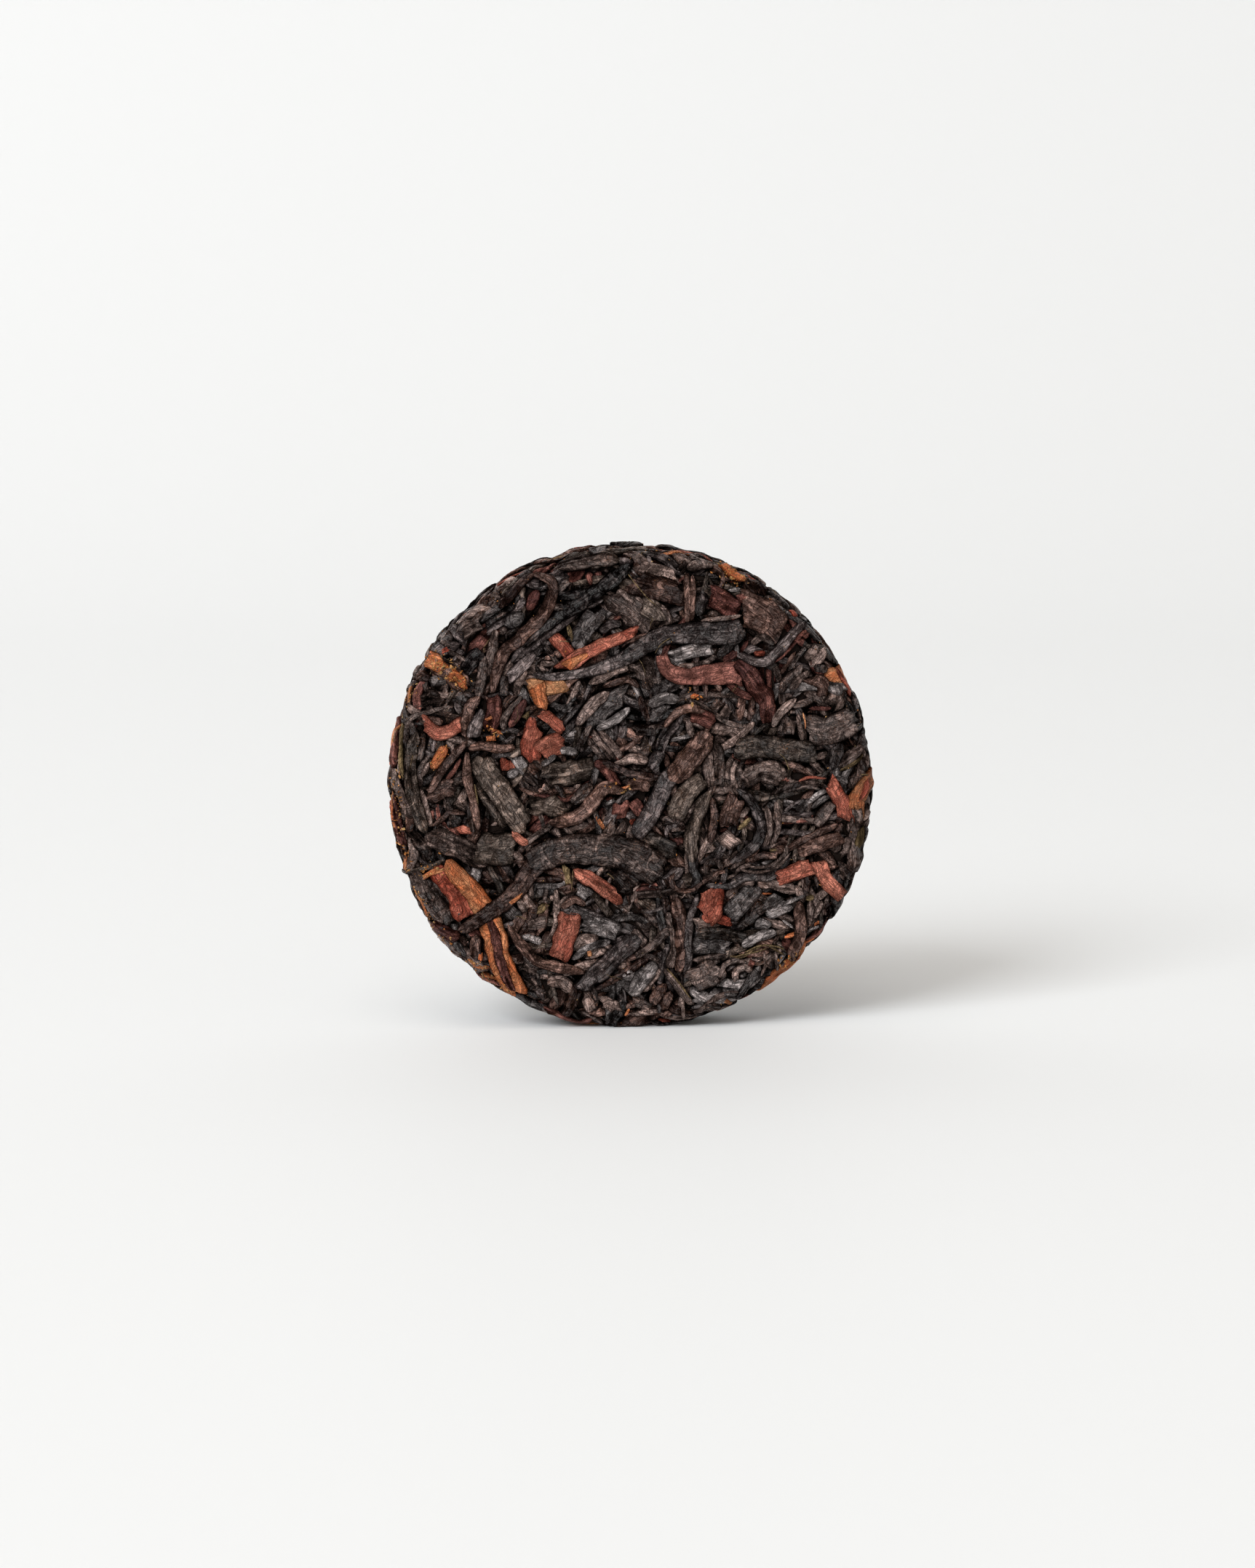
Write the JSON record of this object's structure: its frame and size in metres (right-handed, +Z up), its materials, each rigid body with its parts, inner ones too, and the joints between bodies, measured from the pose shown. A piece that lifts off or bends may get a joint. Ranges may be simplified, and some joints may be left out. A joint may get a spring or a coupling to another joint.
{
  "type": "compressed tea cake",
  "caption": "Round, flat-faced disc of pressed dark tea leaves with red and orange flecks, standing on a small flat of its rim.",
  "frame": {"origin": "under the middle of the disc, on the surface that its rim stands on", "axes": "+Z up, the disc's axis along Y with its front face towards -Y, +X to the right as seen from the front"},
  "size_m": [0.0548, 0.0094, 0.0547],
  "materials": {
    "dark_leaf": "fermented tea leaf, black-brown, rolled and pressed, satin",
    "slate_leaf": "smooth side of a tea leaf, slate grey sheen",
    "brown_leaf": "stem and stalk bark, purple-brown, grooved",
    "red_leaf": "old leaf flesh, brick red, matt",
    "orange_leaf": "peeled stalk and broken edges, orange, fibrous",
    "straw_fibre": "bare plant fibres, straw coloured, matt",
    "leaf_bed": "shaded leaf dust between the leaves, near black, matt"
  },
  "bodies": {
    "root": {"tea_cake": "dark_leaf"}
  },
  "joints": []
}
